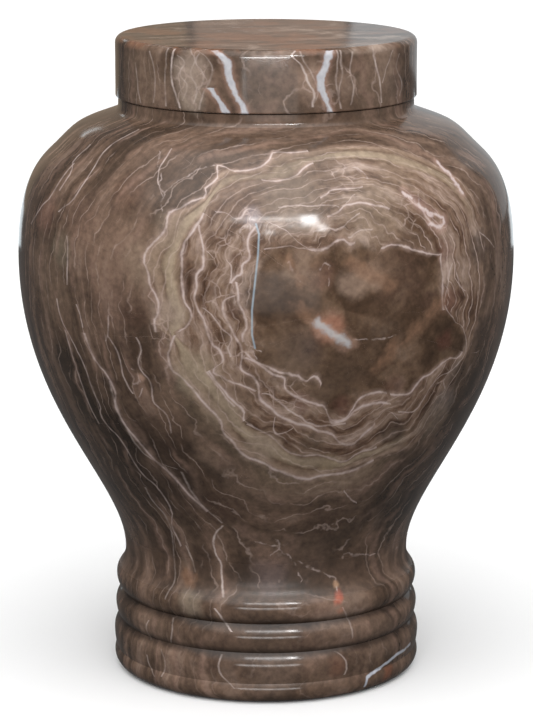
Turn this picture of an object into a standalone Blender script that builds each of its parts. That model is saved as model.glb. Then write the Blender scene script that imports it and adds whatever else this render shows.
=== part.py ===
"""Marble urn: a turned stone body, hollow under a lift-off stone lid.

Units are metres, +Z is up, and the origin is at the centre of the underside.
Run with blender --background --python part.py, or from Blender's text editor.
"""
from math import cos, hypot, pi, radians, sin

import bmesh
import bpy

# Foot: three rounded mouldings, one above the other
FOOT_RADIUS = 0.0626
FOOT_EDGE = 0.0055
FOOT_COVE_RISE = 0.0030
FOOT_COVE_DEPTH = 0.0007
LOW_BEAD_RADIUS = 0.0627
LOW_BEAD_RISE = 0.0066
LOW_BEAD_FALL = 0.0058
MIDDLE_BEAD_RADIUS = 0.0620
MIDDLE_BEAD_HEIGHT = 0.0116
TOP_BEAD_RADIUS = 0.0616
TOP_BEAD_RISE = 0.0060
GROOVE_DEPTH = 0.0021

# Waist, belly and shoulder of the body
WAIST_RADIUS = 0.0578
WAIST_RISE = 0.0109
BELLY_RADIUS = 0.1000
BELLY_RISE = 0.1222
SHOULDER_RISE = 0.0444
SHOULDER_SPREAD = 0.0237
SHOULDER_DROP = 0.0138
SHOULDER_SLOPE = 45.4
COLLAR_SLOPE = 20.0

# Collar that carries the lid, and the hollow inside
COLLAR_RADIUS = 0.0593
COLLAR_HEIGHT = 0.0054
COLLAR_FILLET = 0.0028
MOUTH_RADIUS = 0.0450
MOUTH_EDGE = 0.0010
WALL = 0.0100
FLOOR = 0.0200
FLOOR_CORNER = 0.0120

# Lid: a thick disc with a plug that keeps it over the mouth
LID_OVERHANG = 0.0010
LID_THICKNESS = 0.0245
LID_EDGE = 0.0030
LID_LOWER_EDGE = 0.0008
PLUG_DEPTH = 0.0100
PLUG_EDGE = 0.0015
PLUG_CLEARANCE = 0.0015
SEAT_GAP = 0.0003

# How far each curve leans into its ends, as shares of its own length
TOP_BEAD_PULL = 0.400
WAIST_LOWER_PULL = 0.550
WAIST_UPPER_PULL = 0.223
BELLY_LOWER_PULL = 0.488
BELLY_UPPER_PULL = 0.703
SHOULDER_LOWER_PULL = 0.141
SHOULDER_UPPER_PULL = 0.485
COLLAR_PULL = 0.610

# Fineness of the turned shapes: around the axis, on round edges, on each side of a bead,
# and from waist to belly, belly to shoulder and shoulder to collar
TURN_STEPS = 56
EDGE_STEPS = 3
SMALL_EDGE_STEPS = 2
BEAD_STEPS = 3
COVE_STEPS = 1
WAIST_STEPS = 4
OUTSIDE_STEPS = (9, 7, 4)
INSIDE_STEPS = (6, 5, 2)
MERGE = 0.000001
SMOOTH_ANGLE = 30.0

UP = 90.0
POLISHED_MARBLE = {"color": (0.150, 0.062, 0.036, 1.0), "roughness": 0.14}


def curve(start, start_angle, start_pull, end, end_angle, end_pull, steps):
    """Points after start up to end, on a cubic curve between two directions in degrees."""
    reach = hypot(end[0] - start[0], end[1] - start[1])
    a, b = radians(start_angle), radians(end_angle)
    near = (start[0] + cos(a) * start_pull * reach, start[1] + sin(a) * start_pull * reach)
    far = (end[0] - cos(b) * end_pull * reach, end[1] - sin(b) * end_pull * reach)
    points = []
    for step in range(1, steps + 1):
        t = step / steps
        weights = ((1 - t) ** 3, 3 * t * (1 - t) ** 2, 3 * t * t * (1 - t), t ** 3)
        corners = (start, near, far, end)
        points.append(tuple(sum(w * c[i] for w, c in zip(weights, corners)) for i in (0, 1)))
    return points


def arc(center, radius, start_angle, end_angle, steps):
    """Points on a round edge, both ends included, with the angles in degrees."""
    points = []
    for step in range(steps + 1):
        angle = radians(start_angle + (end_angle - start_angle) * step / steps)
        points.append((center[0] + radius * cos(angle), center[1] + radius * sin(angle)))
    return points


def swell(crest_radius, crest, edge, depth, steps, towards_edge):
    """One side of a rounded bead, between its crest and an edge that lies deeper."""
    points = []
    for step in range(1, steps + 1):
        t = step / steps if towards_edge else 1 - step / steps
        points.append((crest_radius - depth * t * t, crest + (edge - crest) * t))
    return points


def offset_inward(points, distance):
    """The same line moved square to itself, towards the axis and the inside."""
    moved = []
    for i, (radius, height) in enumerate(points):
        before = points[max(i - 1, 0)]
        after = points[min(i + 1, len(points) - 1)]
        along = (after[0] - before[0], after[1] - before[1])
        length = hypot(*along)
        moved.append((radius - distance * along[1] / length, height + distance * along[0] / length))
    return moved


def foot_outline():
    """Underside, rounded lower edge and the three mouldings, up to the waist."""
    cove = FOOT_EDGE + FOOT_COVE_RISE
    cove_radius = FOOT_RADIUS - FOOT_COVE_DEPTH
    low_crest = cove + LOW_BEAD_RISE
    low_groove = low_crest + LOW_BEAD_FALL
    groove_radius = LOW_BEAD_RADIUS - GROOVE_DEPTH
    middle_crest = low_groove + MIDDLE_BEAD_HEIGHT / 2
    top_groove = low_groove + MIDDLE_BEAD_HEIGHT
    top_groove_radius = TOP_BEAD_RADIUS - GROOVE_DEPTH
    top_crest = top_groove + TOP_BEAD_RISE
    middle_low_depth = MIDDLE_BEAD_RADIUS - groove_radius
    middle_top_depth = MIDDLE_BEAD_RADIUS - top_groove_radius
    low_depth = LOW_BEAD_RADIUS - cove_radius

    points = [(0.0, 0.0)]
    points += arc((FOOT_RADIUS - FOOT_EDGE, FOOT_EDGE), FOOT_EDGE, -90, 0, EDGE_STEPS)
    points += swell(FOOT_RADIUS, FOOT_EDGE, cove, FOOT_COVE_DEPTH, COVE_STEPS, True)
    points += swell(LOW_BEAD_RADIUS, low_crest, cove, low_depth, COVE_STEPS + 1, False)
    points += swell(LOW_BEAD_RADIUS, low_crest, low_groove, GROOVE_DEPTH, BEAD_STEPS, True)
    points += swell(MIDDLE_BEAD_RADIUS, middle_crest, low_groove, middle_low_depth, BEAD_STEPS, False)
    points += swell(MIDDLE_BEAD_RADIUS, middle_crest, top_groove, middle_top_depth, BEAD_STEPS, True)
    points += swell(TOP_BEAD_RADIUS, top_crest, top_groove, GROOVE_DEPTH, BEAD_STEPS, False)
    waist = (WAIST_RADIUS, top_crest + WAIST_RISE)
    points += curve(points[-1], UP, TOP_BEAD_PULL, waist, UP, WAIST_LOWER_PULL, WAIST_STEPS)
    return points


def belly_outline(waist, steps):
    """The body from its waist over the widest place to the foot of the collar."""
    belly = (BELLY_RADIUS, waist[1] + BELLY_RISE)
    shoulder_angle = 180 - SHOULDER_SLOPE
    collar_angle = 180 - COLLAR_SLOPE
    foot_radius = COLLAR_RADIUS + COLLAR_FILLET * (1 - sin(radians(COLLAR_SLOPE)))
    shoulder = (foot_radius + SHOULDER_SPREAD, belly[1] + SHOULDER_RISE)
    foot = (foot_radius, shoulder[1] + SHOULDER_DROP)
    points = [waist]
    points += curve(waist, UP, WAIST_UPPER_PULL, belly, UP, BELLY_LOWER_PULL, steps[0])
    points += curve(belly, UP, BELLY_UPPER_PULL, shoulder, shoulder_angle, SHOULDER_LOWER_PULL, steps[1])
    points += curve(shoulder, shoulder_angle, SHOULDER_UPPER_PULL, foot, collar_angle, COLLAR_PULL, steps[2])
    return points


def collar_outline(foot):
    """The small hollow at the foot of the collar, then its upright side to the rim."""
    centre = (COLLAR_RADIUS + COLLAR_FILLET, foot[1] + COLLAR_FILLET * cos(radians(COLLAR_SLOPE)))
    points = arc(centre, COLLAR_FILLET, 270 - COLLAR_SLOPE, 180, EDGE_STEPS)[1:]
    points.append((COLLAR_RADIUS, foot[1] + COLLAR_HEIGHT))
    return points


def hollow_outline(waist, rim):
    """The inside from the rim down to the floor, one wall's thickness within the body."""
    side = offset_inward(belly_outline(waist, INSIDE_STEPS), WALL)
    side = [point for point in side if point[0] > MOUTH_RADIUS or point[1] < waist[1] + BELLY_RISE]
    roof = side[-1]
    slope = sin(radians(COLLAR_SLOPE)) / cos(radians(COLLAR_SLOPE))
    ledge = roof[1] + (roof[0] - MOUTH_RADIUS) * slope
    floor_radius = side[0][0]
    points = arc((MOUTH_RADIUS + MOUTH_EDGE, rim - MOUTH_EDGE), MOUTH_EDGE, 90, 180, SMALL_EDGE_STEPS)
    points.append((MOUTH_RADIUS, ledge))
    points += reversed(side)
    points += arc((floor_radius - FLOOR_CORNER, FLOOR + FLOOR_CORNER), FLOOR_CORNER, 0, -90, EDGE_STEPS)
    points.append((0.0, FLOOR))
    return points


def body_outline():
    """The whole section of the body, from the underside's centre to the floor's centre."""
    points = foot_outline()
    waist = points[-1]
    points += belly_outline(waist, OUTSIDE_STEPS)[1:]
    points += collar_outline(points[-1])
    rim = points[-1][1]
    return points + hollow_outline(waist, rim), rim


def lid_outline(rim):
    """The whole section of the lid, from the plug's centre to the top's centre."""
    radius = COLLAR_RADIUS + LID_OVERHANG
    under = rim + SEAT_GAP
    top = under + LID_THICKNESS
    plug_radius = MOUTH_RADIUS - PLUG_CLEARANCE
    plug_base = under - PLUG_DEPTH
    points = [(0.0, plug_base)]
    points += arc((plug_radius - PLUG_EDGE, plug_base + PLUG_EDGE), PLUG_EDGE, -90, 0, SMALL_EDGE_STEPS)
    points.append((plug_radius, under))
    points += arc((radius - LID_LOWER_EDGE, under + LID_LOWER_EDGE), LID_LOWER_EDGE, -90, 0, SMALL_EDGE_STEPS)
    points += arc((radius - LID_EDGE, top - LID_EDGE), LID_EDGE, 0, 90, EDGE_STEPS)
    points.append((0.0, top))
    return points


def polished_marble(name):
    """Polished stone with the finish of its piece."""
    material = bpy.data.materials.new(name)
    material.use_nodes = True
    shader = material.node_tree.nodes["Principled BSDF"]
    shader.inputs["Base Color"].default_value = POLISHED_MARBLE["color"]
    shader.inputs["Roughness"].default_value = POLISHED_MARBLE["roughness"]
    shader.inputs["Metallic"].default_value = 0.0
    return material


def turned_piece(name, outline):
    """A closed solid made by turning an outline once around the Z axis."""
    shape = bmesh.new()
    verts = [shape.verts.new((radius, 0.0, height)) for radius, height in outline]
    edges = [shape.edges.new(pair) for pair in zip(verts, verts[1:])]
    bmesh.ops.spin(shape, geom=verts + edges, cent=(0, 0, 0), axis=(0, 0, 1),
                   angle=2 * pi, steps=TURN_STEPS, use_merge=True)
    bmesh.ops.remove_doubles(shape, verts=shape.verts[:], dist=MERGE)
    bmesh.ops.recalc_face_normals(shape, faces=shape.faces[:])
    mesh = bpy.data.meshes.new(name)
    shape.to_mesh(mesh)
    shape.free()
    mesh.shade_smooth()
    mesh.set_sharp_from_angle(angle=radians(SMOOTH_ANGLE))
    mesh.materials.append(polished_marble(name + "_marble"))
    piece = bpy.data.objects.new(name, mesh)
    bpy.context.scene.collection.objects.link(piece)
    return piece


def build():
    for old in list(bpy.data.objects):
        bpy.data.objects.remove(old, do_unlink=True)
    outline, rim = body_outline()
    turned_piece("body", outline)
    turned_piece("lid", lid_outline(rim))


build()
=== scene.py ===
"""Polished brown marble urn with a lift-off lid, standing on a pale floor."""
from math import atan2, cos, hypot, pi, radians, sin, tan

import bmesh
import bpy
from mathutils import Matrix, Vector


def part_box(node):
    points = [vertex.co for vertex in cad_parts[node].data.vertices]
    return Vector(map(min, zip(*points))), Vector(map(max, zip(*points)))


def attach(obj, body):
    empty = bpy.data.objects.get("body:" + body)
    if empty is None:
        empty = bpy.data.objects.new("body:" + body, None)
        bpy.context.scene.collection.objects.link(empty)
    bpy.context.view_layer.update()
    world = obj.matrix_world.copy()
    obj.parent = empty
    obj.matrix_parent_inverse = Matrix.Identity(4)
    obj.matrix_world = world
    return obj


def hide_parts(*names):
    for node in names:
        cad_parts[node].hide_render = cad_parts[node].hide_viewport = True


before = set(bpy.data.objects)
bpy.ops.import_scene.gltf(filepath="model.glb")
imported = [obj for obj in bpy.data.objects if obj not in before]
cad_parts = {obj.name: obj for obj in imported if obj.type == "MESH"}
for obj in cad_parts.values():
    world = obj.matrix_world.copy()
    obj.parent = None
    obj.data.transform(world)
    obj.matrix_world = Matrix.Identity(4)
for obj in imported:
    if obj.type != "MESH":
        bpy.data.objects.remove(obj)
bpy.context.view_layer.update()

# The photograph and its camera: sight lines aim at the urn's axis from the front
PHOTO_SIZE = (533, 721)
CAMERA_PLACE = Vector((0.0, -1.25538, 0.39460))
CAMERA_PITCH = 12.06
CAMERA_FOCAL = 3146.6
CAMERA_SHIFT = (0.00062, 0.00069)
SENSOR = 36.0

# Outline of the urn, in metres, as the solids have it
FOOT_RADIUS = 0.0626
FOOT_EDGE = 0.0055
FOOT_COVE = (0.0619, 0.0085)
LOW_BEAD = (0.0627, 0.0151)
LOW_GROOVE = 0.0209
MIDDLE_BEAD = (0.0620, 0.0267)
TOP_GROOVE = 0.0325
TOP_BEAD = (0.0616, 0.0385)
GROOVE_DEPTH = 0.0021
WAIST = (0.0578, 0.0494)
BELLY = (0.1000, 0.1716)
COLLAR_RADIUS = 0.0593
COLLAR_FILLET = 0.0028
COLLAR_SLOPE = 20.0
COLLAR_FOOT = 0.2298
SHOULDER_SPREAD = 0.0237
SHOULDER_DROP = 0.0138
SHOULDER_SLOPE = 45.4
MOUTH_RADIUS = 0.0450
MOUTH_EDGE = 0.0010
WALL = 0.0100
FLOOR = 0.0200
FLOOR_CORNER = 0.0120
LID_EDGE = 0.0030
LID_LOWER_EDGE = 0.0008
PLUG_RADIUS = 0.0435
PLUG_EDGE = 0.0015
PLUG_HEIGHT = 0.0100
# How strongly the outline's curves pull at their two ends, as shares of the way between these
FOOT_PULLS = (0.40, 0.55)
WAIST_PULLS = (0.223, 0.488)
BELLY_PULLS = (0.703, 0.141)
SHOULDER_PULLS = (0.485, 0.610)

# The stone: its beds lie square to one direction, behind the eye of the ring on the belly.
# Angles run round the ring in degrees: 0 right, 90 up, 180 left, 270 down. Depths are in millimetres.
RING_CENTRE = (0.0298, -0.0954, 0.1662)
BED_FACING = Vector((0.2985, -0.9538, -0.0344)).normalized()
RING_START = -60.0
RING_REACH = 15.0
RING_SCALE = 212.0
RING_GIRTH = 55.0
UPRIGHT_SCALE = 390.0
UPRIGHT_HEIGHT = 0.26
MILLIMETRE = 0.001
# Waves that move the coordinates: size in millimetres, detail, and how far they move a place
CLOSE_WAVES = (5.0, 3.0, (1.6, 1.6, 0.7))
PATCHY_WAVES = (11.0, 3.0, (9.0, 9.0, 9.0))
TORN_WAVES = (4.5, 3.0, (3.6, 3.6, 3.6))
UPRIGHT_WAVES = (5.0, 3.0, (0.0016, 0.0016, 0.0016))
LONG_WAVES = (48.0, 1.0, (18.0, 18.0, 15.0))
SHORT_WAVES = (15.0, 2.0, (5.0, 5.0, 4.0))
# Shares of the height: the lid's top, where the waist's dull polish starts and ends, and how far a groove's
# painted shade reaches
LID_TOP = (0.985, 0.998)
DULL_FROM = (0.1595, 0.166)
DULL_TO = (0.25, 0.20)
GROOVE_SHADE_REACH = 0.012
# The polish: its roughness, and its pores in millimetres and metres
POLISH = 0.10
PORE_SIZE = 1.4
PORE_DEPTH = 0.0002
STONE_IOR = 1.5
# Half the width of the drawn veins, and the mesh of the fine nets, in millimetres
CLEAR_WIDTH = 0.8
FAINT_WIDTH = 0.6
UPRIGHT_WIDTH = 0.7
CRACK_WIDTH = 0.65
VEIN_BORDER = 2.6
NET_MESH = 6.5
# Fine lines of the ring and of the beds in two sets each: spacing, width, and the fading they show at
RING_LINES = ((2.7, 0.5, 0.44, 0.60), (1.9, 0.45, 0.56, 0.44))
BED_LINES = ((3.1, 0.45, 0.48, 0.62), (2.3, 0.4, 0.50, 0.38))
# A curve that holds several lines is ABSENT between them: the break at a line's end, and the least gap
LINE_BREAK = 0.001
LINE_GAP = 0.012
ABSENT = -1.0
CURVE_ENDS = (-0.01, 1.01)
# Round areas fade between these shares of their radius
PATCH_FADE = (1.25, 0.35)
NET_FADE = (1.3, 0.6)
# Edges of the ring, as (angle, depth) points
EYE_EDGE = (
    (-60, 7.6), (-54, 9.1), (-50, 10.5), (-46, 10.3), (-41, 10.8), (-37, 12), (-32, 13.2), (-29, 14.5),
    (-26, 17.5), (-23, 19.3), (-18, 18.5), (-14, 16), (-10, 12.7), (-6, 10.7), (0, 9.8), (10, 9.7), (20, 9.8),
    (23, 10), (27, 8), (31, 6.7), (35, 5.8), (42, 5), (50, 4), (58, 2.9), (70, 2.7), (85, 2.5), (101, 2.6),
    (115, 2.7), (121, 3.5), (130, 4.7), (139, 6.5), (147, 6.6), (155, 6.2), (179, 6.2), (200, 6.7),
    (207, 7.6), (216, 6.8), (225, 6.0), (236, 5.4), (248, 5.3), (256, 5.7), (262, 6.3), (267, 6.7),
    (275, 6.5), (280, 5.9), (285, 5.5), (292, 5.9), (300, 7.6),
)
TAN_INNER_EDGE = (
    (-60, 16.5), (-40, 17), (0, 19), (30, 22), (45, 23), (60, 22.5), (75, 22), (85, 21.5), (96, 20.5),
    (103, 19.2), (107, 17.6), (112, 17.2), (116, 17.7), (120, 19.5), (125, 21), (136, 21.8), (143, 20.2),
    (150, 19.9), (157, 20.7), (166, 19.7), (178, 18.3), (183, 16.9), (187, 18.5), (189.5, 21), (192, 20),
    (196, 18), (202, 16.5), (206, 15.6), (216, 14.4), (228, 13.7), (232, 14.8), (239, 14), (246, 13.8),
    (252, 14.6), (260, 14.8), (265, 14.4), (270, 15), (276, 16.2), (280, 15.2), (290, 16), (300, 16.5),
)
TAN_OUTER_EDGE = (
    (-60, 24), (-40, 22), (0, 23), (20, 26), (33, 29), (45, 30), (60, 30), (80, 28), (96, 25.7), (104, 26),
    (110, 27), (117.5, 24), (122, 24.7), (129, 28.7), (134, 26), (139.4, 23.5), (147.5, 26.3), (150, 28),
    (155, 26.7), (160, 28.3), (166, 30.3), (170, 28.3), (177.5, 25.3), (182, 25), (186, 26.3), (190, 23),
    (194, 22.7), (199, 24), (202.5, 23.8), (205, 22.3), (209, 21), (214, 20), (222, 18.8), (230, 20),
    (240, 20.7), (247.5, 19.7), (265, 19.7), (268, 19), (287, 19), (300, 24),
)
# How strongly the tan band shows at each angle
TAN_STRENGTH = (
    (-60, 0.3), (-40, 0.0), (10, 0.0), (30, 0.35), (50, 0.8), (60, 0.9), (100, 1.0), (220, 1.0), (285, 0.85),
    (300, 0.3),
)

# Veins of the ring, each through (angle, depth) points
CLEAR_VEINS = (
    ((79, 2.7), (85, 2.5), (92.5, 2.8), (101, 2.6), (110, 2.5), (115, 2.7), (120, 3.2), (122.5, 4),
     (125, 5.3), (126, 6.7), (128, 8), (130, 9.3), (131, 10.3)),
    ((60, 8.3), (70, 8.2), (80, 8), (88, 7.4), (90.5, 6.7), (96, 6), (101, 5.7)),
    ((128.8, 10.3), (130.6, 13), (132.5, 13.7), (137.5, 13.3), (139.4, 15), (140, 17), (142, 18.7)),
    ((135, 10), (140, 10), (145, 9.2), (151, 8.2), (155, 8.8), (159, 8.5), (162.5, 9.3), (166, 9.8)),
    ((164, 9), (169, 8.5), (175, 8.2), (182.5, 7.3), (189, 7.2), (192.5, 7.7), (198, 8)),
    ((171, 8.5), (174, 10.3), (176, 10.7), (182.5, 10.3), (187.5, 9.7), (194, 9), (199, 8.6), (205, 8.8),
     (210, 9.7), (212.5, 9.5), (216, 8.7), (221, 8.5), (226, 9.2), (229, 9.7), (234, 9.7), (242.5, 9.7),
     (250, 9.6), (257.5, 9.3), (261, 9.7), (267.5, 10), (272.5, 11.7), (276, 12.7), (279, 12.8),
     (282.5, 11.8), (287.5, 11), (290, 10.5)),
    ((147.5, 20), (150, 19), (153, 17.3), (155.6, 16.3), (159, 15.8), (162, 15.3), (166, 16.3), (171, 16),
     (176, 16.2), (180, 15.3), (185, 14.2), (190, 13.7), (195, 13.2), (199, 12.3), (203, 12), (205.6, 13),
     (206.5, 14.7), (211, 13.3), (215, 12.2), (219, 10.7), (222.5, 9.8), (226, 9.3)),
    ((202.5, 8.2), (210, 7.3), (216, 6.3), (222.5, 5.5), (230, 4.7), (236, 4.2), (242.5, 4), (246, 3.4),
     (252, 3.4), (256, 4)),
    ((205, 8.7), (211, 7.2), (217.5, 6.5), (225, 5.8), (230, 5.3), (234, 6), (240, 6.2), (250, 6), (257.5, 6),
     (262.5, 6.2), (265, 7.3), (267.5, 8.2), (275, 8), (280, 7), (285, 6.8), (290, 7.2), (295, 7.8),
     (299.5, 9)),
    ((263, 6.4), (268, 8), (275, 7.8), (280, 6.2), (285, 5.5), (290, 5.7), (296, 6.3), (299.5, 7.1)),
    ((205.6, 15.5), (211, 15), (217.5, 14.3), (224, 13.7), (229, 13.5), (230.6, 14.3), (232.5, 14.8)),
    ((-59.5, 7.4), (-55, 9), (-50.6, 10.3), (-46, 10.3), (-41, 10.8), (-37.5, 12), (-32.5, 13.2),
     (-29.4, 14.3), (-27, 16.7), (-25.6, 18.7), (-22.5, 19.3)),
    ((-7.5, 10), (-1, 9.5), (10, 9.7), (20, 9.8), (23, 10.3), (24.2, 9), (27.5, 7.8), (31, 6.7), (35, 5.8),
     (42.5, 5), (50, 4), (57.5, 3)),
    ((31, 13.8), (32, 12.3), (36, 11.5), (41, 11.2), (46, 11.8), (51, 12), (55, 12.7)),
    ((76, 12.6), (80, 11.8), (87.5, 11.5), (94, 11.2), (96, 10.4), (100, 9.6), (101, 9.3)),
    ((96, 21), (100, 20.2), (103, 19.2), (107, 17.6), (112, 17.2), (116, 17.7), (119, 19), (121, 20.3)),
    ((143, 20.4), (150, 19.9), (157.5, 20.7), (166, 19.7), (172.5, 19), (178, 18.3), (180, 17.3), (183, 16.9),
     (186, 17.7), (188, 19), (189.4, 21)),
    ((190, 21), (194, 22.7), (199, 24.1), (202.5, 23.8), (205, 22.3), (209, 21), (214, 20), (220, 19.3),
     (222.5, 18.8), (227.5, 19), (230, 20), (235, 20), (240, 20.7), (247.5, 19.7), (255, 19.7), (265, 19.7),
     (267.5, 19), (277.5, 19), (287.5, 18.6)),
    ((96, 25.7), (104, 26), (110, 27.6), (112.5, 25.5), (117.5, 24), (122.5, 24.7), (126, 26.3), (129, 31),
     (130.6, 27.5), (134, 26), (137.5, 25.5), (139.4, 23.3), (142.5, 24.8), (147.5, 26.3), (150, 28),
     (155, 26.7), (160, 28.3), (166, 30.3), (170, 28.3), (174, 27.3), (177.5, 25.3), (182, 25), (185, 26.3),
     (189, 26.3)),
    ((190, 54), (197.5, 51), (201, 47.5), (206, 46.3), (210, 48.8), (215, 48.8), (220, 47), (226, 45.4),
     (232.5, 43), (240, 42.5), (245, 41.7)),
)
FAINT_VEINS = (
    ((133, 49), (136, 46.7), (141, 43.3), (144, 39), (146, 35), (148, 31.7)),
    ((110, 2.5), (117.5, 3), (125, 3.7), (130, 4.7), (135, 5.5), (139, 6.3), (142, 7)),
    ((68, 4.3), (73, 4.1), (78, 3.8), (84, 3.1), (88, 3)),
    ((77.5, 6.3), (82.5, 5.5), (90, 4.2), (96, 3.9), (101, 4.2), (106, 4.3), (112, 4.4)),
    ((80.5, 10.3), (82.5, 9.7), (85, 8.7), (88, 7.5)),
    ((90, 6.9), (94, 7.7), (100, 8), (107.5, 8.4), (112.5, 9.2), (116, 9.7), (122, 10.5)),
    ((154.5, 12.7), (156, 11.5), (158, 10.3), (166, 9.9)), ((155, 16.3), (157, 14.3), (157.5, 13)),
    ((177.5, 15.3), (180, 13.7), (183, 12.3), (186, 11.7), (190, 10.7), (194, 9.7), (197.5, 10.5),
     (204, 10.6)),
    ((227.5, 9), (231, 8.2), (239, 8), (244, 8.2), (250, 8.3), (255, 8.7), (261, 9), (267.5, 8.7),
     (276, 8.7)), ((240, 10), (242.5, 11.7), (245, 12.7), (248, 12), (250.6, 10.3)),
    ((205, 16), (211, 15.4), (217.5, 14.8), (226, 14.2)),
    ((232.5, 14.8), (239, 14), (245, 13.7), (250, 14.4), (255, 15), (260, 14.8), (265, 14.3), (270, 15),
     (276, 16.2), (280, 15.2), (288, 15.8)), ((296, 9.8), (298, 11), (299.4, 13)),
    ((-59.5, 11.5), (-56, 13.3), (-52.5, 14.7), (-46, 14.3), (-41, 14), (-36, 15), (-33, 17.3), (-29, 19),
     (-24, 20.7), (-20, 19.7), (-17, 18.3), (-14, 16.3), (-12.5, 14.3), (-10, 12.7), (-6, 10.7), (-2.5, 10)),
    ((-2.5, 10), (2.5, 10.3), (7.5, 11), (12.5, 11.5), (15.6, 12.7)),
    ((0.6, 16.3), (2.5, 14.7), (7.5, 13.7), (12.5, 13.3), (15, 14.3)),
    ((10, 32), (14, 28.7), (17.5, 26), (20, 24)), ((-24, 23), (-23, 25), (-22, 28.3), (-21, 32)),
    ((275, 20), (276, 23), (279, 27), (281, 29)), ((182, 57.5), (186, 55), (190, 54.2)),
    ((184, 41.7), (190, 43), (193, 45.8)),
    ((182.5, 68.8), (187.5, 66.7), (191, 63.3), (195, 60), (200, 57.5), (205, 57.5), (210, 57), (212.5, 59),
     (216, 57.5), (219, 55), (229, 55), (234, 52.5), (240, 54), (242.5, 58.3), (247.5, 59)),
    ((190, 65), (195, 64), (202.5, 63), (210, 63.3), (216, 62.5)),
    ((166, 70), (167.5, 63.8), (172.5, 62), (179, 61.7)),
    ((135, 74), (140, 71.7), (146, 71.3), (150, 68.3), (155, 66), (159, 66.7), (161, 70), (164, 74)),
    ((145, 86.7), (146, 83.3), (151, 84), (154, 78), (160, 78)),
    ((151, 81.7), (160, 82), (164, 87.5), (169, 95)), ((190, 43.3), (196, 40), (202.5, 40.4), (207.5, 39)),
    ((205, 34), (209, 37.5), (210, 44)),
    ((189, 33), (194, 31.5), (199, 33.5), (205, 31.5), (211, 33), (216, 31), (222, 33)),
)

# Veins that run up and down, each through points of the photograph, from the top down
BOLD_UPRIGHTS = (
    ((223, 46), (226, 60), (230, 78), (233, 89), (240, 102), (246, 114)),
    ((209, 87), (214, 95), (221, 104), (229, 114)),
    ((323, 47), (328, 57), (326, 66), (322, 76), (321, 84), (325, 96), (330, 113)),
)
CLEAR_UPRIGHTS = (
    ((290, 46), (292, 55), (300, 64), (305, 74), (309, 84), (314, 92), (312, 110)),
    ((369, 45), (374, 55), (377, 70), (380, 85), (382, 104)),
    ((176, 48), (171, 65), (172, 82), (176, 95), (181, 110)),
    ((223, 525), (214, 537), (215, 550), (221, 565), (222, 585), (223, 598)),
    ((213, 606), (219, 614), (225, 622), (233, 633)),
)
FAINT_UPRIGHTS = (
    ((135, 60), (137, 80), (139, 95), (141, 104)), ((149, 50), (154, 68), (155, 85), (153, 105)),
    ((170, 47), (165, 70), (165, 90), (166, 107)),
    ((187, 48), (198, 50), (207, 58), (212, 70), (210, 82), (203, 95), (199, 112)),
    ((339, 49), (341, 62), (342, 75), (339, 90), (341, 110)), ((393, 47), (390, 58), (386, 70), (382, 84)),
    ((180, 470), (200, 503), (215, 517), (223, 524)),
    ((145, 487), (152, 500), (165, 515), (171, 530), (174, 560), (173, 585), (165, 600)),
    ((186, 545), (193, 563), (196, 575)), ((174, 616), (172, 630), (170, 645)),
    ((342, 606), (347, 618), (352, 640)), ((175, 52), (184, 62), (180, 74), (187, 86), (182, 102)),
    ((190, 49), (195, 60), (190, 73), (197, 87), (192, 106)), ((202, 50), (196, 62), (204, 76), (198, 92)),
    ((334, 48), (338, 64), (336, 82), (340, 100)), ((352, 50), (350, 70), (354, 90), (350, 108)),
    ((400, 52), (396, 66), (402, 84), (399, 98)), ((296, 48), (304, 62), (314, 78), (318, 92), (312, 108)),
    ((110, 380), (116, 405), (125, 425), (150, 458), (180, 470)), ((146, 653), (150, 666), (157, 680)),
    ((161, 648), (165, 663), (161, 677)), ((222, 653), (219, 668), (226, 680), (237, 690)),
    ((334, 650), (346, 662), (344, 676)), ((150, 618), (146, 628), (151, 640)),
)
# Colours, red, green and blue from 0 to 255, of the beds at their depths and along the ramps
BEDS = (
    (0, (104, 80, 68)), (3, (92, 70, 58)), (6.5, (100, 80, 68)), (9, (112, 94, 82)), (12, (120, 100, 88)),
    (14, (110, 92, 80)), (16, (118, 100, 86)), (17.5, (130, 112, 96)), (19, (142, 124, 104)),
    (22, (125, 108, 92)), (24, (112, 95, 82)), (28, (98, 80, 68)), (33, (92, 74, 62)), (36, (104, 86, 74)),
    (42, (94, 76, 64)), (48, (98, 80, 68)), (55, (104, 86, 74)), (66, (88, 72, 60)), (80, (98, 80, 68)),
    (96, (84, 68, 57)), (115, (100, 82, 70)), (140, (86, 70, 58)), (165, (98, 80, 66)), (210, (84, 68, 56)),
)
EYE_RAMP = ((0.30, (60, 45, 34)), (0.44, (80, 61, 47)), (0.52, (96, 75, 59)), (0.60, (116, 93, 76)),
            (0.70, (138, 116, 100)))
LACE_RAMP = ((0.30, (70, 50, 39)), (0.42, (102, 78, 63)), (0.51, (130, 106, 90)), (0.60, (152, 129, 114)),
             (0.70, (176, 153, 140)))
BAND_RAMP = ((0.0, (100, 80, 65)), (0.10, (138, 116, 97)), (0.24, (166, 147, 126)), (0.46, (156, 137, 116)),
             (0.58, (116, 95, 79)), (0.70, (144, 121, 103)), (0.86, (154, 131, 114)), (0.98, (112, 90, 76)))
STREAK_RAMP = ((0.31, (44, 34, 27)), (0.43, (72, 56, 45)), (0.51, (98, 78, 65)), (0.59, (126, 102, 87)),
               (0.70, (156, 132, 117)))
# The search along a sight line, in metres from the camera
SIGHT_START = 1.05
SIGHT_END = 1.45
SIGHT_STEP = 0.002
SIGHT_PRECISION = 0.00001

# Where the fine veins of the ring crowd together
CROWDED_LINES = (452, 300)
# Round areas with a net of fine veins: a point of the photograph and a radius in millimetres
NETS = (
    (192, 76, 9), (318, 84, 6), (345, 80, 5), (228, 250, 9), (222, 300, 9), (250, 222, 6), (415, 212, 8),
    (232, 355, 8), (285, 395, 8), (440, 390, 8), (160, 330, 5), (345, 172, 6),
)
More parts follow.
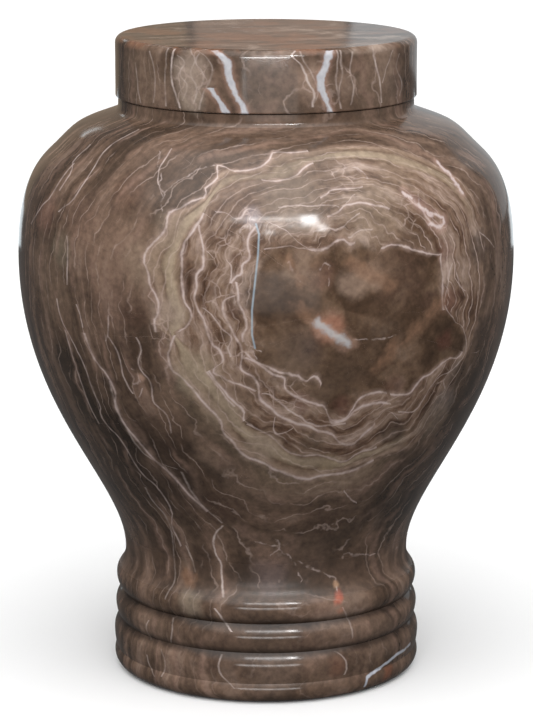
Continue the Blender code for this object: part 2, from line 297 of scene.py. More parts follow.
# Soft areas of another tone: a point of the photograph, their radius in millimetres, tone and strength
TONES = (
    (70, 364, 12, (46, 38, 31), 0.7), (88, 405, 13, (47, 39, 31), 0.75), (130, 348, 9, (68, 52, 43), 0.6),
    (160, 440, 14, (58, 45, 37), 0.8), (178, 478, 10, (58, 45, 37), 0.7), (218, 508, 10, (84, 64, 54), 0.5),
    (318, 524, 10, (68, 53, 44), 0.6), (398, 515, 16, (56, 46, 39), 0.55), (405, 468, 14, (58, 48, 40), 0.55),
    (392, 432, 7, (64, 52, 44), 0.6), (478, 248, 8, (70, 58, 52), 0.6), (482, 330, 7, (66, 54, 48), 0.6),
    (457, 375, 8, (62, 50, 42), 0.6), (398, 275, 15, (90, 69, 58), 0.5), (416, 234, 10, (92, 70, 54), 0.7),
    (345, 378, 12, (102, 82, 67), 0.5), (353, 284, 7, (162, 137, 120), 0.6),
    (374, 277, 6, (160, 134, 116), 0.6), (290, 195, 14, (150, 134, 120), 0.6),
    (372, 212, 15, (148, 130, 112), 0.4), (396, 172, 11, (146, 126, 108), 0.35),
    (168, 232, 8, (150, 131, 115), 0.6), (168, 312, 8, (166, 146, 131), 0.6),
    (196, 375, 11, (160, 142, 122), 0.7), (225, 410, 10, (150, 131, 113), 0.7),
    (262, 446, 8, (158, 138, 121), 0.7), (326, 464, 6, (150, 131, 108), 0.7),
    (312, 441, 6, (96, 80, 66), 0.5), (62, 250, 9, (122, 109, 93), 0.6), (46, 214, 8, (130, 97, 84), 0.5),
    (112, 300, 12, (118, 93, 81), 0.4), (442, 404, 8, (116, 104, 98), 0.7),
    (190, 602, 6, (150, 134, 117), 0.6), (190, 580, 4, (142, 106, 82), 0.6),
    (338, 665, 5, (130, 88, 70), 0.5), (388, 676, 4, (132, 86, 66), 0.6), (190, 68, 8, (166, 148, 134), 0.75),
    (190, 98, 7, (160, 143, 128), 0.7), (356, 88, 6, (88, 72, 60), 0.5), (396, 85, 7, (74, 62, 56), 0.6),
    (138, 376, 2, (196, 160, 140), 0.6), (270, 572, 9, (112, 96, 93), 0.5),
    (330, 326, 7, (168, 120, 99), 0.8), (251, 216, 5, (172, 160, 162), 0.6),
    (300, 350, 10, (122, 104, 96), 0.4), (322, 275, 6, (128, 96, 82), 0.5), (120, 430, 13, (46, 36, 29), 0.8),
    (150, 488, 13, (54, 42, 34), 0.7), (192, 500, 8, (60, 46, 38), 0.5), (172, 545, 10, (60, 46, 38), 0.6),
    (205, 560, 8, (62, 48, 40), 0.6), (240, 572, 8, (54, 43, 36), 0.7), (82, 380, 10, (60, 48, 40), 0.6),
    (310, 455, 8, (92, 74, 61), 0.3), (375, 500, 13, (76, 62, 52), 0.5), (345, 570, 9, (70, 55, 46), 0.5),
    (270, 292, 11, (66, 49, 38), 0.65), (302, 308, 9, (70, 52, 40), 0.65), (385, 335, 12, (72, 55, 43), 0.6),
    (205, 660, 7, (66, 51, 43), 0.5), (310, 640, 8, (72, 55, 47), 0.5), (445, 250, 5, (100, 64, 54), 0.5),
    (450, 300, 6, (110, 72, 62), 0.5), (446, 340, 5, (102, 64, 54), 0.5), (345, 408, 5, (94, 60, 52), 0.5),
    (300, 404, 5, (96, 64, 56), 0.5), (395, 385, 5, (98, 66, 58), 0.4), (105, 255, 18, (146, 119, 102), 0.45),
    (52, 290, 14, (132, 110, 93), 0.45), (80, 220, 12, (138, 110, 95), 0.4),
    (305, 180, 22, (98, 79, 65), 0.5), (245, 190, 12, (104, 83, 71), 0.5), (395, 500, 16, (50, 41, 34), 0.6),
    (130, 455, 14, (52, 41, 33), 0.5), (225, 660, 12, (74, 58, 49), 0.45), (345, 655, 14, (76, 61, 52), 0.4),
    (140, 80, 18, (140, 117, 100), 0.5), (275, 82, 20, (124, 104, 90), 0.5),
    (375, 80, 18, (138, 116, 100), 0.5), (312, 80, 8, (172, 146, 130), 0.55),
    (212, 455, 8, (140, 116, 100), 0.6), (242, 480, 9, (128, 105, 90), 0.6),
    (272, 540, 10, (98, 80, 67), 0.5), (310, 545, 10, (98, 80, 68), 0.5), (434, 420, 9, (130, 112, 98), 0.6),
    (168, 402, 9, (130, 107, 91), 0.5), (135, 238, 10, (144, 118, 101), 0.5),
    (303, 262, 8, (124, 99, 82), 0.4), (384, 262, 8, (122, 98, 81), 0.4), (282, 352, 11, (100, 81, 66), 0.5),
    (166, 572, 8, (64, 49, 41), 0.5), (134, 316, 7, (80, 60, 50), 0.6), (130, 190, 9, (104, 78, 64), 0.5),
    (142, 262, 10, (150, 129, 111), 0.5), (428, 300, 5, (84, 62, 52), 0.5),
    (40, 262, 10, (136, 112, 96), 0.4), (280, 376, 9, (120, 99, 83), 0.5), (242, 385, 9, (132, 110, 94), 0.5),
    (318, 395, 7, (116, 95, 80), 0.5), (165, 425, 9, (118, 95, 80), 0.5), (205, 440, 8, (126, 104, 88), 0.4),
    (163, 62, 3, (84, 66, 54), 0.5), (240, 70, 4, (88, 70, 58), 0.4), (218, 66, 3, (86, 68, 56), 0.5),
    (357, 68, 4, (84, 67, 55), 0.5), (310, 565, 8, (106, 86, 74), 0.4), (190, 82, 10, (174, 153, 138), 0.5),
    (160, 92, 6, (146, 122, 106), 0.5), (345, 84, 7, (150, 126, 111), 0.5),
    (386, 72, 6, (150, 128, 113), 0.4), (300, 374, 9, (124, 103, 87), 0.4),
    (150, 628, 12, (134, 111, 96), 0.4), (240, 632, 12, (112, 91, 78), 0.4),
    (320, 632, 12, (106, 86, 73), 0.35), (382, 634, 10, (128, 106, 92), 0.4),
    (275, 674, 12, (118, 98, 86), 0.5), (215, 240, 4, (96, 72, 58), 0.6), (233, 262, 3, (96, 70, 58), 0.6),
    (213, 290, 4, (98, 74, 60), 0.6), (236, 312, 4, (92, 68, 56), 0.6), (221, 335, 4, (94, 72, 58), 0.5),
    (205, 262, 4, (146, 124, 106), 0.5), (341, 598, 3, (180, 100, 80), 0.8),
    (337, 586, 2, (196, 156, 124), 0.6), (344, 610, 2, (190, 130, 104), 0.5),
)
# Short veins and marks, each through points of the photograph
STROKES = (
    ((319, 270), (324, 264), (330, 267), (329, 286)), ((289, 262), (294, 273), (301, 281)),
    ((349, 338), (380, 339), (396, 336)),
    ((324, 171), (331, 174), (339, 171), (342, 168), (350, 166), (356, 166), (362, 171), (366, 178)),
    ((159, 152), (159, 170), (163, 195), (161, 217)), ((163, 193), (180, 180), (200, 169), (216, 164)),
    ((132, 369), (138, 373), (140, 381), (134, 385)), ((344, 554), (370, 554), (398, 547)),
    ((256, 541), (278, 547), (294, 560), (318, 570), (335, 580), (338, 592)),
    ((292, 558), (302, 580), (300, 592)), ((276, 540), (280, 548), (272, 556)),
    ((236, 224), (244, 214), (252, 212), (262, 217)), ((246, 206), (251, 216), (249, 230)),
    ((240, 232), (252, 221), (266, 223)), ((245, 342), (256, 350), (262, 352)),
    ((240, 358), (252, 352), (258, 360)),
)
# Bright and rusty strokes, a long crack, and the pale flashes on the foot and behind the eye
BRIGHT_STROKES = (
    ((403, 192), (414, 201), (424, 208), (430, 214)),
    ((430, 214), (437, 213), (443, 218), (443, 225), (437, 228), (431, 224)),
    ((438, 163), (452, 178), (463, 194)),
)
RUST_STROKES = (
    ((440, 302), (420, 325), (398, 346), (374, 368)), ((288, 258), (296, 272), (300, 284)),
    ((300, 305), (312, 318)), ((352, 262), (372, 276), (390, 284)),
)
CRACK = ((256, 224), (259, 234), (258, 255), (255, 282), (252, 310), (252, 335), (255, 348))
FOOT_FLASH = ((365, 686), (367, 678), (385, 664), (396, 655), (410, 644))
FLAME = ((317, 322), (327, 330), (336, 337), (349, 343))
BLACK = (0.0, 0.0, 0.0, 1.0)
# The finished stone is this much less red than the colours above
COOLER = (0.965, 1.0, 1.03, 1.0)

# The stage: the floor, in metres, and where the light comes from, above and in front
GROUND_REACH = 8.0
GROUND_DROP = 0.0002
LIGHT_FROM = (0.0, -0.45, 0.89)
WHITE = (1.0, 1.0, 1.0)
COOL = (0.86, 0.95, 1.0)
LAMPS_IN_ROW = 5
# Where the belly and the neck mirror the lamps, as points of the photograph
LAMP_RIGHT = (307, 221)
LAMP_FAR_RIGHT = (319, 217)
LAMP_MIDDLE = (268, 233)
NECK_SHINE = (272, 123)

UP = 90.0
TURN_STEPS = 224
WELD_REACH = 0.000001
SHARP_ANGLE = 30.0


def curve(start, start_angle, end, end_angle, pulls, steps):
    """Points after start up to end, on a cubic curve between two directions in degrees."""
    reach = hypot(end[0] - start[0], end[1] - start[1])
    a, b = radians(start_angle), radians(end_angle)
    near = (start[0] + cos(a) * pulls[0] * reach, start[1] + sin(a) * pulls[0] * reach)
    far = (end[0] - cos(b) * pulls[1] * reach, end[1] - sin(b) * pulls[1] * reach)
    points = []
    for step in range(1, steps + 1):
        t = step / steps
        weights = ((1 - t) ** 3, 3 * t * (1 - t) ** 2, 3 * t * t * (1 - t), t ** 3)
        points.append(tuple(sum(w * c[i] for w, c in zip(weights, (start, near, far, end))) for i in (0, 1)))
    return points


def arc(center, radius, start_angle, end_angle, steps):
    """Points on a round edge, both ends included, with the angles in degrees."""
    points = []
    for step in range(steps + 1):
        angle = radians(start_angle + (end_angle - start_angle) * step / steps)
        points.append((center[0] + radius * cos(angle), center[1] + radius * sin(angle)))
    return points


def swell(crest, edge, depth, steps, towards_edge):
    """One side of a rounded bead, between its crest (radius, height) and an edge that lies deeper."""
    points = []
    for step in range(1, steps + 1):
        t = step / steps if towards_edge else 1 - step / steps
        points.append((crest[0] - depth * t * t, crest[1] + (edge - crest[1]) * t))
    return points


def offset_inward(points, distance):
    """The same line moved square to itself, towards the axis and the inside."""
    moved = []
    for i, (radius, height) in enumerate(points):
        before = points[max(i - 1, 0)]
        after = points[min(i + 1, len(points) - 1)]
        along = (after[0] - before[0], after[1] - before[1])
        length = hypot(*along)
        moved.append((radius - distance * along[1] / length, height + distance * along[0] / length))
    return moved


def belly_outline(steps):
    """The body from its waist over the widest place to the foot of the collar."""
    foot = (COLLAR_RADIUS + COLLAR_FILLET * (1 - sin(radians(COLLAR_SLOPE))), COLLAR_FOOT)
    shoulder = (foot[0] + SHOULDER_SPREAD, foot[1] - SHOULDER_DROP)
    shoulder_angle = 180 - SHOULDER_SLOPE
    points = [WAIST]
    points += curve(WAIST, UP, BELLY, UP, WAIST_PULLS, steps[0])
    points += curve(BELLY, UP, shoulder, shoulder_angle, BELLY_PULLS, steps[1])
    points += curve(shoulder, shoulder_angle, foot, 180 - COLLAR_SLOPE, SHOULDER_PULLS, steps[2])
    return points


def outer_outline(rim):
    """The body's outside, from the centre of the underside up to its rim."""
    points = [(0.0, 0.0)]
    points += arc((FOOT_RADIUS - FOOT_EDGE, FOOT_EDGE), FOOT_EDGE, -90, 0, 12)
    points += swell((FOOT_RADIUS, FOOT_EDGE), FOOT_COVE[1], FOOT_RADIUS - FOOT_COVE[0], 6, True)
    points += swell(LOW_BEAD, FOOT_COVE[1], LOW_BEAD[0] - FOOT_COVE[0], 10, False)
    points += swell(LOW_BEAD, LOW_GROOVE, GROOVE_DEPTH, 10, True)
    points += swell(MIDDLE_BEAD, LOW_GROOVE, MIDDLE_BEAD[0] - LOW_BEAD[0] + GROOVE_DEPTH, 10, False)
    points += swell(MIDDLE_BEAD, TOP_GROOVE, MIDDLE_BEAD[0] - TOP_BEAD[0] + GROOVE_DEPTH, 10, True)
    points += swell(TOP_BEAD, TOP_GROOVE, GROOVE_DEPTH, 10, False)
    points += curve(TOP_BEAD, UP, WAIST, UP, FOOT_PULLS, 12)
    points += belly_outline((54, 40, 18))[1:]
    centre = (COLLAR_RADIUS + COLLAR_FILLET, COLLAR_FOOT + COLLAR_FILLET * cos(radians(COLLAR_SLOPE)))
    points += arc(centre, COLLAR_FILLET, 270 - COLLAR_SLOPE, 180, 8)[1:]
    points.append((COLLAR_RADIUS, rim))
    return points


def inner_outline(rim):
    """The hollow, from the rim down to the centre of its floor."""
    side = offset_inward(belly_outline((18, 14, 6)), WALL)
    ledge = side[-1][1] + (side[-1][0] - MOUTH_RADIUS) * tan(radians(COLLAR_SLOPE))
    points = arc((MOUTH_RADIUS + MOUTH_EDGE, rim - MOUTH_EDGE), MOUTH_EDGE, 90, 180, 4)
    points.append((MOUTH_RADIUS, ledge))
    points += reversed(side)
    points += arc((side[0][0] - FLOOR_CORNER, FLOOR + FLOOR_CORNER), FLOOR_CORNER, 0, -90, 8)
    points.append((0.0, FLOOR))
    return points


def lid_outline(plug_base, top, radius, under):
    """The lid, from the centre of its plug to the centre of its top."""
    points = [(0.0, plug_base)]
    points += arc((PLUG_RADIUS - PLUG_EDGE, plug_base + PLUG_EDGE), PLUG_EDGE, -90, 0, 5)
    points.append((PLUG_RADIUS, under))
    points += arc((radius - LID_LOWER_EDGE, under + LID_LOWER_EDGE), LID_LOWER_EDGE, -90, 0, 6)
    points += arc((radius - LID_EDGE, top - LID_EDGE), LID_EDGE, 0, 90, 14)
    points.append((0.0, top))
    return points


def turned_piece(name, outline, node):
    """A smooth closed piece made by turning an outline once around the Z axis."""
    shape = bmesh.new()
    verts = [shape.verts.new((radius, 0.0, height)) for radius, height in outline]
    edges = [shape.edges.new(pair) for pair in zip(verts, verts[1:])]
    bmesh.ops.spin(shape, geom=verts + edges, cent=(0, 0, 0), axis=(0, 0, 1),
                   angle=2 * pi, steps=TURN_STEPS, use_merge=True)
    bmesh.ops.remove_doubles(shape, verts=shape.verts[:], dist=WELD_REACH)
    bmesh.ops.recalc_face_normals(shape, faces=shape.faces[:])
    mesh = bpy.data.meshes.new(name)
    shape.to_mesh(mesh)
    shape.free()
    mesh.shade_smooth()
    mesh.set_sharp_from_angle(angle=radians(SHARP_ANGLE))
    piece = bpy.data.objects.new(name, mesh)
    bpy.context.scene.collection.objects.link(piece)
    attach(piece, "root")
    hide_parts(node)
    return piece


def srgb(red, green, blue):
    """A colour as it looks on a screen, from 0 to 255, as the light values that shaders use."""
    return tuple((c / 255 / 12.92 if c <= 10 else ((c / 255 + 0.055) / 1.055) ** 2.4)
                 for c in (red, green, blue)) + (1.0,)


def arithmetic(operation, reflected=False):
    """A method of fields that adds a Math node, with its field second if it is reflected."""
    def method(self, other=0.0):
        return self.finish.math(operation, *((other, self) if reflected else (self, other)))
    return method


class Field:
    """A value that varies through the stone. Arithmetic on fields adds Math nodes."""

    def __init__(self, finish, socket):
        self.finish = finish
        self.socket = socket

    __add__ = arithmetic("ADD")
    __radd__ = arithmetic("ADD", reflected=True)
    __sub__ = arithmetic("SUBTRACT")
    __rsub__ = arithmetic("SUBTRACT", reflected=True)
    __mul__ = arithmetic("MULTIPLY")
    __rmul__ = arithmetic("MULTIPLY", reflected=True)
    __truediv__ = arithmetic("DIVIDE")
    __abs__ = arithmetic("ABSOLUTE")
    over = arithmetic("MAXIMUM")
    under = arithmetic("MINIMUM")


class Nodes:
    """The nodes of a material or of the room's light."""

    def __init__(self, tree):
        self.tree = tree
        self.tree.nodes.clear()

    def node(self, kind, settings=None, sockets=None, output=0):
        """A new node of one kind, with its settings made first, then its sockets set or linked."""
        made = self.tree.nodes.new("ShaderNode" + kind)
        for key, value in (settings or {}).items():
            if key == "stops":
                self.set_stops(made.color_ramp.elements, value)
            elif key == "points":
                self.set_points(made.mapping, value)
            else:
                setattr(made, key, value)
        for key, value in (sockets or {}).items():
            if isinstance(value, Field):
                self.tree.links.new(value.socket, made.inputs[key])
            else:
                made.inputs[key].default_value = value
        return Field(self, made.outputs[output]) if made.outputs else None

    @staticmethod
    def set_stops(elements, stops):
        """Places a ramp's colours, each at its position from 0 to 1."""
        while len(elements) > 1:
            elements.remove(elements[-1])
        elements[0].position, elements[0].color = stops[0]
        for position, color in stops[1:]:
            elements.new(position).color = color

    @staticmethod
    def set_points(mapping, points):
        """Lays a curve through points (along, value, corner), the first and the last at its ends."""
        mapping.use_clip = False
        line = mapping.curves[0].points
        line[0].location = points[0][:2]
        line[1].location = points[-1][:2]
        for point in points[1:-1]:
            line.new(*point[:2])
        mapping.update()
        for placed, point in zip(line, points):
            placed.handle_type = "VECTOR" if point[2] else "AUTO"
        mapping.update()

    def math(self, operation, first, second=0.0):
        return self.node("Math", {"operation": operation}, {0: first, 1: second})

    def parts(self, vector):
        """The three parts of a vector."""
        first = self.node("SeparateXYZ", {}, {0: vector})
        return [Field(self, socket) for socket in first.socket.node.outputs]

    def vector(self, operation, first, second=(0.0, 0.0, 0.0), output=0):
        """Vector Math on two vectors."""
        return self.node("VectorMath", {"operation": operation}, {0: first, 1: second}, output)

    def distance(self, place, point):
        return self.vector("DISTANCE", place, point, 1)

    def noise(self, place, size, detail=2.0, roughness=0.5, output=0):
        """Cloudy noise between 0 and 1 (or coloured), its lumps about size wide."""
        return self.node("TexNoise", {"noise_dimensions": "3D"},
                         {"Vector": place, "Scale": 1 / size, "Detail": detail, "Roughness": roughness},
                         output)

    def scaled(self, place, level, deep):
        """A place with its first two parts scaled by one number and its third by another."""
        return self.vector("MULTIPLY", place, (level, level, deep))

    def shift(self, place, size, detail, amount, moved=None):
        """A place, or another one, moved to and fro by up to about half the amounts in waves of one size."""
        wave = self.vector("SUBTRACT", self.noise(place, size, detail, output=1), (0.5, 0.5, 0.5))
        return self.vector("ADD", moved or place, self.vector("MULTIPLY", wave, amount))

    def rise(self, value, low, high, top=1.0, bottom=0.0):
        """The bottom below low and the top above high, with a soft step between; low may be the larger."""
        return self.node("MapRange", {"interpolation_type": "SMOOTHSTEP", "clamp": False}, {
            "Value": value, "From Min": low, "From Max": high, "To Min": bottom, "To Max": top})

    def ridge(self, value, width):
        """1 where the value is nought, falling to 0 at the width on either side."""
        return self.rise(abs(value), width, 0.0)

    def ramp(self, value, *colors):
        """Colours from a value, each given by where it lies and what it is."""
        return self.node("ValToRGB", {"stops": [(at, srgb(*color)) for at, color in colors]}, {0: value})

    def mix(self, share, first, second, how="MIX"):
        """A colour between two, or the first treated by the second in another blend."""
        return self.node("Mix", {"data_type": "RGBA", "blend_type": how}, {0: share, 6: first, 7: second}, 2)


class Finish(Nodes):
    """One material and the nodes that make it."""

    def __init__(self, name):
        self.material = bpy.data.materials.new(name)
        self.material.use_nodes = True
        super().__init__(self.material.node_tree)


def sight_line(x, y):
    """Where the camera's sight line through a pixel of the photograph starts, and its direction."""
    pitch = radians(CAMERA_PITCH)
    forward = Vector((0, cos(pitch), -sin(pitch)))
    upward = Vector((0, sin(pitch), cos(pitch)))
    across = (x - PHOTO_SIZE[0] / 2) / CAMERA_FOCAL + CAMERA_SHIFT[0] * PHOTO_SIZE[1] / CAMERA_FOCAL
    above = (PHOTO_SIZE[1] / 2 - y) / CAMERA_FOCAL + CAMERA_SHIFT[1] * PHOTO_SIZE[1] / CAMERA_FOCAL
    return CAMERA_PLACE, (forward + Vector((1, 0, 0)) * across + upward * above).normalized()


def on_surface(x, y, outline):
    """The place on the urn that a pixel of the photograph shows."""
    start, direction = sight_line(x, y)
    outside, step = SIGHT_START, SIGHT_STEP
    while step > SIGHT_PRECISION:
        place = start + direction * (outside + step)
        if hypot(place.x, place.y) <= radius_at(place.z, outline):
            step /= 2
        else:
            outside += step
        if outside > SIGHT_END:
            raise ValueError(f"pixel {x}, {y} misses the urn")
    return start + direction * outside


def radius_at(height, outline):
    """The urn's outside radius at a height, or a negative number above and below it."""
    radii = [a[0] + (b[0] - a[0]) * (height - a[1]) / (b[1] - a[1])
             for a, b in zip(outline, outline[1:]) if a[1] <= height < b[1]]
    return max(radii, default=-1.0)


def stone_axes():
    """Across and down a bed, with the first turned so that the ring's count starts at its lower right."""
    right = Vector((0, 0, 1)).cross(BED_FACING).normalized()
    upward = BED_FACING.cross(right)
    start = radians(RING_START + 180)
    across = right * cos(start) + upward * sin(start)
    return across, across.cross(BED_FACING)


def ring_point(angle, depth):
    """A point of the ring as a share of its turn and of its reach."""
    return (angle - RING_START) / 360, depth ** 0.5 / RING_REACH


def upright_point(place):
    """A place on the urn as shares of its height and of a turn about its axis, from the back."""
    return place.z / UPRIGHT_HEIGHT, atan2(place.x, -place.y) / (2 * pi) + 0.5


def side_by_side(lines):
    """Sorts lines of (along, across) points into curves that hold several, one after the other."""
    curves = []
    for line in sorted(sorted(line) for line in lines):
        held = next((c for c in curves if c[-1][0] + LINE_GAP < line[0][0]), None)
        if held is None:
            held = []
            curves.append(held)
        held.append((line[0][0] - LINE_BREAK, ABSENT, True))
        held += [(*point, point in (line[0], line[-1])) for point in line]
        held.append((line[-1][0] + LINE_BREAK, ABSENT, True))
    first, last = CURVE_ENDS
    return [[(first, ABSENT, True)] + held + [(last, ABSENT, True)] for held in curves]


class Stone(Finish):
    """The marble: the coordinates that its beds and veins follow, and its colour so far."""

    def __init__(self, name, outline):
        super().__init__(name)
        self.outline = outline
        self.across, self.down = stone_axes()
        turn = Matrix((self.across, self.down, -BED_FACING)).transposed().to_euler()
        coords = self.node("TexCoord", output=3)
        self.place = self.node("Mapping", {"vector_type": "TEXTURE"}, {
            "Vector": coords, "Location": RING_CENTRE, "Rotation": turn, "Scale": (MILLIMETRE,) * 3})
        self.close = self.shift(self.place, *CLOSE_WAVES)
        self.patchy_place = self.shift(self.place, *PATCHY_WAVES)
        self.torn_place = self.shift(self.place, *TORN_WAVES)
        a, b, depth = self.parts(self.close)
        self.turn = 0.5 - self.math("ARCTAN2", b, a) / (2 * pi)
        self.reach = self.math("SQRT", depth.over(0.0)) / RING_REACH
        round_way = self.vector("NORMALIZE", self.scaled(self.close, 1.0, 0.0))
        outward = self.node("CombineXYZ", {}, {2: self.reach * RING_SCALE})
        self.ring = self.vector("ADD", self.scaled(round_way, RING_GIRTH, RING_GIRTH), outward)
        x, y, z = self.parts(self.shift(self.place, *UPRIGHT_WAVES, coords))
        self.height = z / UPRIGHT_HEIGHT
        self.heading = self.math("ARCTAN2", x, 0.0 - y) / (2 * pi) + 0.5
        self.cloud = self.noise(self.place, 17.0, 4.0, 0.55)
        self.ragged = self.noise(self.place, 9.0, 3.0)
        self.grain = self.noise(self.place, 2.6, 3.0, 0.6)
        # Values that run with the ring and, behind it, with the beds
        sway = self.noise(self.scaled(self.ring, 1.0, 0.5), 26.0) * 16.0
        ripple = self.noise(self.scaled(self.ring, 1.0, 0.6), 7.0) * 4.0
        self.ring_flow = self.reach * RING_SCALE + sway + ripple
        self.wavy = self.shift(self.shift(self.place, *LONG_WAVES), *SHORT_WAVES)
        self.depth = self.parts(self.wavy)[2]
        self.bed_flow = self.depth + self.noise(self.scaled(self.place, 1.0, 0.5), 16.0, 4.0) * 12.0

    def lay(self, share, tone, how="MIX"):
        """Lays a tone over the colour so far: red, green and blue from 0 to 255, or a field's colour."""
        self.color = self.mix(share, self.color, tone if isinstance(tone, Field) else srgb(*tone), how)

    def drawn(self, points):
        """A value that changes round the ring, drawn through (share of a turn, value) points."""
        smooth = [(*point, False) for point in points]
        return self.node("FloatCurve", {"points": smooth}, {"Value": self.turn})

    def rim(self, points):
        """The reach of an edge that runs round the ring through (angle, depth) points."""
        return self.drawn([ring_point(*point) for point in points])

    def past(self, rim):
        """How far, in millimetres over the stone, a place lies outside the reach of an edge."""
        return (self.reach - rim) * RING_SCALE

    def nearest(self, along, across, lines):
        """The gap to the nearest of some lines."""
        gap = None
        for points in side_by_side(lines):
            near = abs(across - self.node("FloatCurve", {"points": points}, {"Value": along}))
            gap = near if gap is None else gap.under(near)
        return gap

    def lines(self, flow, spacing, width):
        """Even lines wherever a flow is a whole number of steps of twice the spacing."""
        return self.ridge(self.math("PINGPONG", flow, spacing), width)

    def fading_lines(self, flow, fading, even, torn):
        """Two sets of fine lines along a flow, each with its spacing, width and the fading it shows at."""
        spacing, width, low, high = even
        shown = self.lines(flow, spacing, width) * self.rise(fading, low, high)
        spacing, width, low, high = torn
        return shown.over(self.lines(flow + self.ragged * 3.0, spacing, width) * self.rise(fading, low, high))

    def ring_gap(self, veins):
        """Millimetres over the stone to the nearest vein of the ring."""
        lines = [[ring_point(*point) for point in vein] for vein in veins]
        return self.nearest(self.turn, self.reach, lines) * RING_SCALE

    def upright_gap(self, veins):
        """Millimetres over the stone to the nearest vein that runs up and down."""
        lines = [[upright_point(on_surface(*point, self.outline)) for point in vein] for vein in veins]
        return self.nearest(self.height, self.heading, lines) * UPRIGHT_SCALE

    def in_stone(self, x, y):
        """The place that a pixel of the photograph shows, in the stone's own coordinates, in millimetres."""
        reach = on_surface(x, y, self.outline) - Vector(RING_CENTRE)
        return Vector((reach.dot(self.across), reach.dot(self.down), -reach.dot(BED_FACING))) / MILLIMETRE

    def stroke_gap(self, strokes, place=None):
        """Millimetres to the nearest of some straight strokes, torn a little unless a place is given."""
        gap = None
        for stroke in strokes:
            corners = [self.in_stone(*point) for point in stroke]
            for start, end in zip(corners, corners[1:]):
                way = end - start
                reach = self.vector("SUBTRACT", place or self.torn_place, start)
                share = self.vector("DOT_PRODUCT", reach, way / way.length_squared, 1).over(0.0).under(1.0)
                along = self.node("VectorMath", {"operation": "SCALE"}, {0: way, "Scale": share})
                near = self.distance(reach, along)
                gap = near if gap is None else gap.under(near)
        return gap

    def from_spot(self, x, y):
        """Millimetres, a little blurred, from the place that a pixel of the photograph shows."""
        return self.distance(self.patchy_place, self.in_stone(x, y))

    def patches(self, tones):
        """Soft patches laid over each other on black, and the share of the stone that they leave bare."""
        color, bare = BLACK, 1.0
        for x, y, radius, tone, share in tones:
            rim, core = (radius * part for part in PATCH_FADE)
            inside = self.rise(self.from_spot(x, y), rim, core, share)
            color = self.mix(inside, color, srgb(*tone))
            bare = self.node("Mix", {"data_type": "FLOAT", "clamp_factor": False},
                             {0: inside, 2: bare, 3: 0.0})
        return color, bare

    def nets(self, spots):
        """1 inside some round areas and 0 away from them."""
        inside = 0.0
        for x, y, radius in spots:
            rim, core = (radius * part for part in NET_FADE)
            inside = self.rise(self.from_spot(x, y), rim, core).over(inside)
        return inside

    def mark(self, gap, noise, torn, edge, core, share, tone):
        """Lays a tone along lines, from their core to an edge that noise tears. Returns the torn gap."""
        gap = gap + noise * torn - torn / 2
        self.lay(self.rise(gap, edge, core) * share, tone)
        return gap


def lay_beds(stone):
    """The eye, the lace round it, the tan band and the beds behind, with soft patches of other tones."""
    eye = stone.ramp(stone.cloud, *EYE_RAMP)
    streaky = stone.vector("ADD", stone.scaled(stone.ring, 0.8, 0.0),
                           stone.node("CombineXYZ", {}, {2: stone.ring_flow * 4.0}))
    ring_streak = stone.noise(streaky, 20.0, 4.0, 0.6)
    lace = stone.ramp(ring_streak, *LACE_RAMP)
    inner = stone.rim(TAN_INNER_EDGE)
    outer = stone.rim(TAN_OUTER_EDGE)
    across_band = (stone.reach - inner) / (outer - inner) + ring_streak * 0.36 - 0.18
    band = stone.ramp(across_band, *BAND_RAMP)
    last = BEDS[-1][0]
    beds = stone.ramp(stone.depth / last, *((depth / last, tone) for depth, tone in BEDS))
    streak = stone.noise(stone.scaled(stone.wavy, 0.8, 4.2), 34.0, 4.0, 0.6)
    beds = stone.mix(0.62, beds, stone.ramp(streak, *STREAK_RAMP))
    stone.eye_edge = stone.past(stone.rim(EYE_EDGE)) + stone.cloud * 8.0 - 4.0
    stone.color = stone.mix(stone.rise(stone.eye_edge, -3.0, 2.0), eye, lace)
    strength = stone.drawn([((angle - RING_START) / 360, share) for angle, share in TAN_STRENGTH])
    stone.lay(stone.rise(stone.past(inner), -0.6, 0.8) * strength, band)
    stone.behind = stone.rise(stone.past(outer), -0.6, 0.9)
    stone.lay(stone.behind, beds)
    patches, bare = stone.patches(TONES)
    stone.color = stone.mix(bare, BLACK, stone.color)
    stone.lay(1.0, patches, "ADD")


def lay_fine_veins(stone):
    """Fine veins that weren't drawn: they run with the ring and with the beds, and come and go."""
    fading = stone.noise(stone.scaled(stone.ring, 0.7, 1.5), 15.0, 3.0)
    lacy = stone.rise(stone.eye_edge, 0.5, 3.0) * (1.0 - stone.behind)
    lines = stone.fading_lines(stone.ring_flow, fading, *RING_LINES) * lacy
    thinning = stone.noise(stone.scaled(stone.wavy, 1.0, 2.0), 26.0, 3.0)
    threads = stone.fading_lines(stone.bed_flow, thinning, *BED_LINES) * stone.behind
    threads = threads * stone.rise(stone.height, 0.10, 0.24) + threads * 0.35
    soft_lines = stone.lines(stone.bed_flow + stone.ragged * 5.0, 5.5, 2.2) * stone.rise(thinning, 0.42, 0.60)
    stone.lay(soft_lines * stone.behind * 0.36, (160, 130, 115))
    crowding = stone.rise(stone.distance(stone.place, stone.in_stone(*CROWDED_LINES)), 46.0, 16.0)
    lines = lines * (0.8 + crowding)
    cells = stone.node("TexVoronoi", {"voronoi_dimensions": "3D", "feature": "DISTANCE_TO_EDGE"},
                       {"Vector": stone.torn_place, "Scale": 1 / NET_MESH})
    lines = lines.over(stone.ridge(cells, 0.07) * stone.rise(stone.ragged, 0.36, 0.52) * stone.nets(NETS))
    stone.lay(lines.over(threads * 0.6) * (0.25 + 0.5 * stone.ragged), (192, 169, 158))


